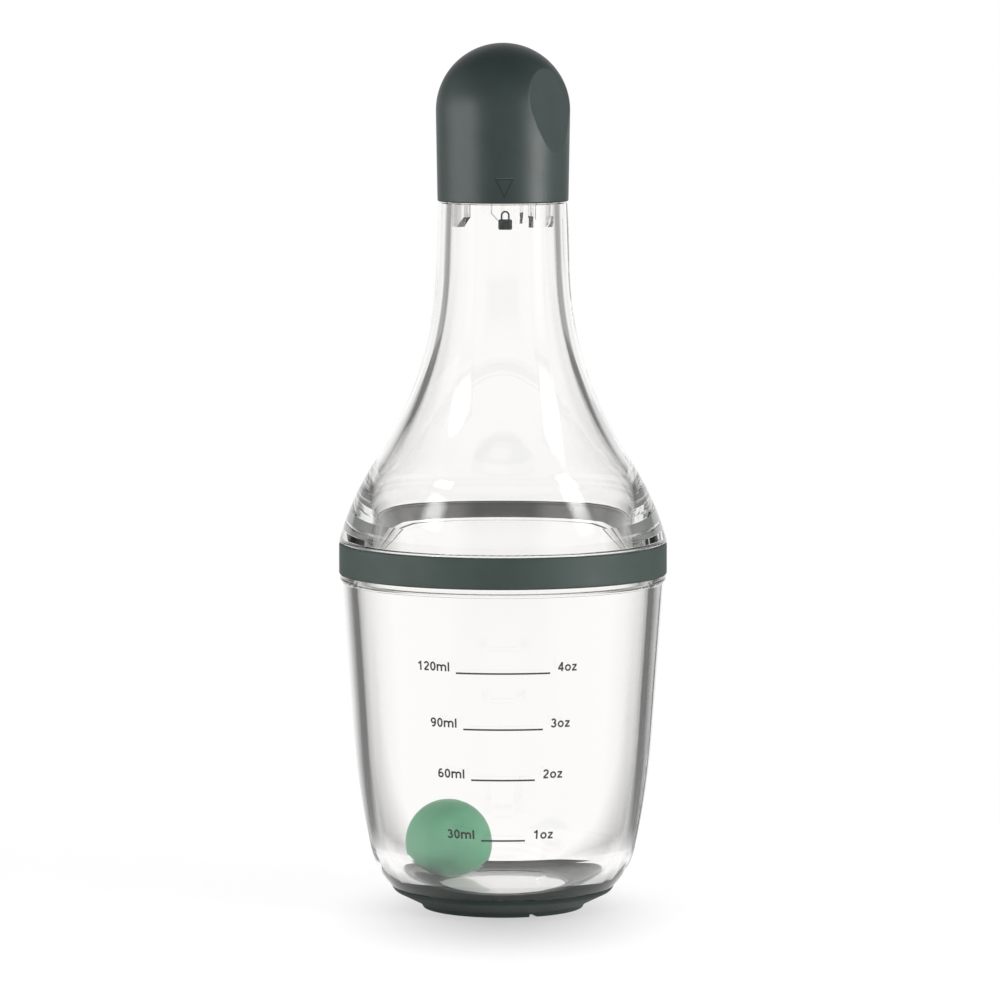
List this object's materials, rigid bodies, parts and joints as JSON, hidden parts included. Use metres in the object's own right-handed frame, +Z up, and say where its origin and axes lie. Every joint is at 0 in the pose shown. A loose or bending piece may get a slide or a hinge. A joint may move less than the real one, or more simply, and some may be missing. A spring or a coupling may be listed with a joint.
{
  "type": "salad dressing shaker bottle",
  "caption": "Clear screw-together dressing shaker with a graduated cup, bell-shaped top, pouring insert, domed twist cap, soft band and foot, and a loose mixing ball.",
  "frame": {"origin": "centre of the ground ring of the foot, on the surface that the bottle stands on", "axes": "+Z up along the bottle's axis, -Y towards the front that carries the measuring marks, +X to the right seen from the front"},
  "size_m": [0.0682, 0.0682, 0.18],
  "materials": {
    "clear_plastic": "clear, polished",
    "dark_silicone": "matt, soft",
    "seal_silicone": "matt, soft",
    "dark_plastic": "fine satin texture",
    "green_plastic": "satin, slightly translucent"
  },
  "bodies": {
    "cup": {"lower_cup": "clear_plastic", "base_foot": "dark_silicone"},
    "ball": {"mixing_ball": "green_plastic"},
    "collar": {"collar_band": "dark_silicone"},
    "bell": {"upper_bell": "clear_plastic", "pour_spout": "clear_plastic", "spout_seal": "seal_silicone"},
    "stopper": {"cap_stopper": "seal_silicone"},
    "cap": {"cap_shell": "dark_plastic"}
  },
  "joints": [
    {"name": "ball_rise", "type": "slide", "parent": "cup", "child": "ball", "axis": [0, 0, 1], "range_m": [0, 0.07]},
    {"name": "bell_lift", "type": "slide", "parent": "cup", "child": "collar", "axis": [0, 0, 1], "range_m": [0, 0.0241]},
    {"name": "bell_turn", "type": "hinge", "parent": "collar", "child": "bell", "pos_m": [0, 0, 0.0764], "axis": [0, 0, 1], "range_deg": [0, 720]},
    {"name": "cap_lift", "type": "slide", "parent": "bell", "child": "stopper", "axis": [0, 0, 1], "range_m": [0, 0.0361]},
    {"name": "cap_turn", "type": "hinge", "parent": "stopper", "child": "cap", "pos_m": [0, 0, 0.147], "axis": [0, 0, 1], "range_deg": [0, 540]}
  ],
  "couplings": [
    {"joint": "bell_lift", "follows": "bell_turn", "m_per_rad": 0.0019099},
    {"joint": "cap_lift", "follows": "cap_turn", "m_per_rad": 0.0038197}
  ]
}
